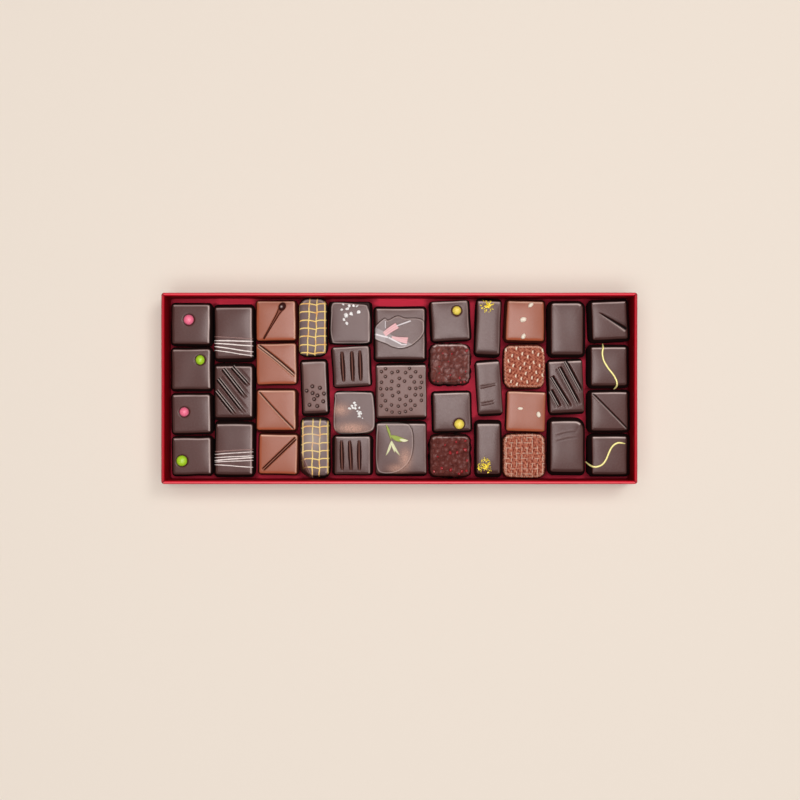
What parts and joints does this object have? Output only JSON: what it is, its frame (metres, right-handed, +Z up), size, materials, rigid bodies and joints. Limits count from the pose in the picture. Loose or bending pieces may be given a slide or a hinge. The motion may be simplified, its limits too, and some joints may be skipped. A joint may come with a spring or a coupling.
{
  "type": "filled praline box",
  "caption": "Shallow open gift box of wrapped red board, filled with coated chocolate pralines in columns, with pearls, salt, nut pieces and piped lines on top.",
  "frame": {"origin": "centre of the underside of the box, on the surface it stands on", "axes": "+X along the long side of the box, +Y across it, +Z up out of the open top"},
  "size_m": [0.286, 0.115, 0.0265],
  "materials": {
    "wrapped_board": "board wrapped in semi-gloss red paper",
    "dark_chocolate": "satin dark chocolate coating",
    "milk_chocolate": "satin milk chocolate coating",
    "nut_chocolate": "rough dark chocolate coating over chopped nuts"
  },
  "bodies": {
    "root": {"box_tray": "wrapped_board", "praline_01_1": "dark_chocolate", "praline_01_2": "dark_chocolate", "praline_01_3": "dark_chocolate", "praline_01_4": "dark_chocolate", "praline_02_1": "dark_chocolate", "praline_02_2": "dark_chocolate", "praline_02_3": "dark_chocolate", "praline_03_1": "milk_chocolate", "praline_03_2": "milk_chocolate", "praline_03_3": "milk_chocolate", "praline_03_4": "milk_chocolate", "praline_04_1": "dark_chocolate", "praline_04_2": "dark_chocolate", "praline_04_3": "dark_chocolate", "praline_05_1": "dark_chocolate", "praline_05_2": "dark_chocolate", "praline_05_3": "dark_chocolate", "praline_05_4": "dark_chocolate", "praline_06_1": "dark_chocolate", "praline_06_2": "dark_chocolate", "praline_06_3": "dark_chocolate", "praline_07_1": "dark_chocolate", "praline_07_2": "nut_chocolate", "praline_07_3": "dark_chocolate", "praline_07_4": "nut_chocolate", "praline_08_1": "dark_chocolate", "praline_08_2": "dark_chocolate", "praline_08_3": "dark_chocolate", "praline_09_1": "milk_chocolate", "praline_09_2": "milk_chocolate", "praline_09_3": "milk_chocolate", "praline_09_4": "milk_chocolate", "praline_10_1": "dark_chocolate", "praline_10_2": "dark_chocolate", "praline_10_3": "dark_chocolate", "praline_11_1": "dark_chocolate", "praline_11_2": "dark_chocolate", "praline_11_3": "dark_chocolate", "praline_11_4": "dark_chocolate"}
  },
  "joints": []
}
